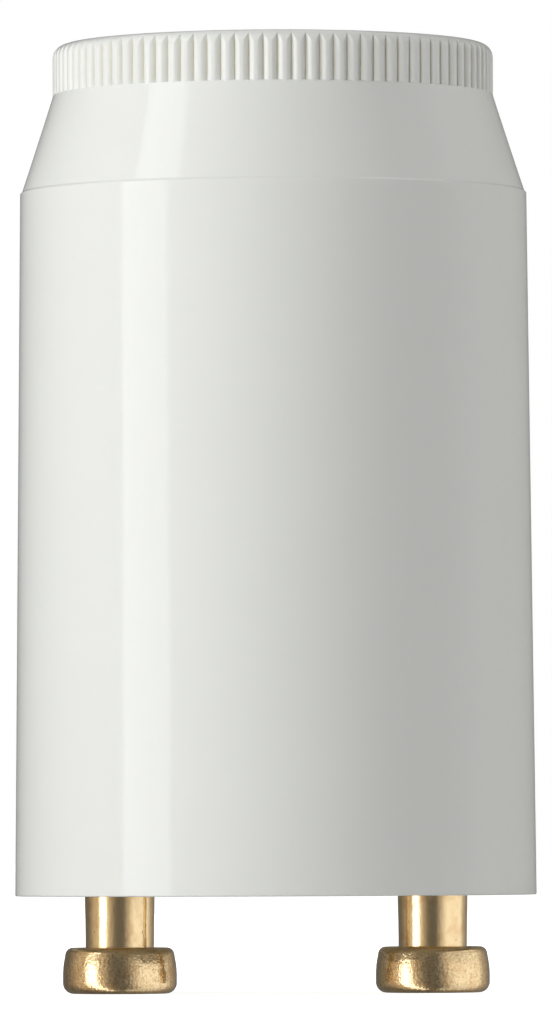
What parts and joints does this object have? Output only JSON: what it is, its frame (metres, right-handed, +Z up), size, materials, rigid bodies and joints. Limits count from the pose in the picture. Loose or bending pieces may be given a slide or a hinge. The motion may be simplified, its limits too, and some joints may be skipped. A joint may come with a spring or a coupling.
{
  "type": "fluorescent starter",
  "caption": "White moulded can with a conical neck and a knurled grip, closed by a base plate with mushroom-headed brass contact pins, holding a glow switch and a capacitor.",
  "frame": {"origin": "on the plane that the two pin heads stand on, midway between them, on the can's axis", "axes": "+Z up the can's axis towards the grip, X along the line of the two pins, -Y to the front"},
  "size_m": [0.0214, 0.0214, 0.0391],
  "materials": {
    "white_plastic": "glossy moulded polycarbonate, faintly translucent",
    "pale_plastic": "moulded insulating plastic, matt",
    "brass": "turned and tumbled, slightly tarnished",
    "clear_glass": "clear blown glass",
    "wire": "tinned wire",
    "electrode": "bare nickel-iron",
    "film": "amber wound film",
    "sprayed_metal": "sprayed zinc, rough"
  },
  "bodies": {
    "root": {"can": "white_plastic", "base_plate": "pale_plastic", "pin_left": "brass", "pin_right": "brass", "bulb_envelope": "clear_glass", "bulb_stem": "clear_glass", "bulb_lead_left": "wire", "bulb_lead_right": "wire", "contact_rod": "electrode", "bimetal_strip": "electrode", "capacitor_winding": "film", "capacitor_end_lower": "sprayed_metal", "capacitor_end_upper": "sprayed_metal", "capacitor_lead_lower": "wire", "capacitor_lead_upper": "wire"}
  },
  "joints": []
}
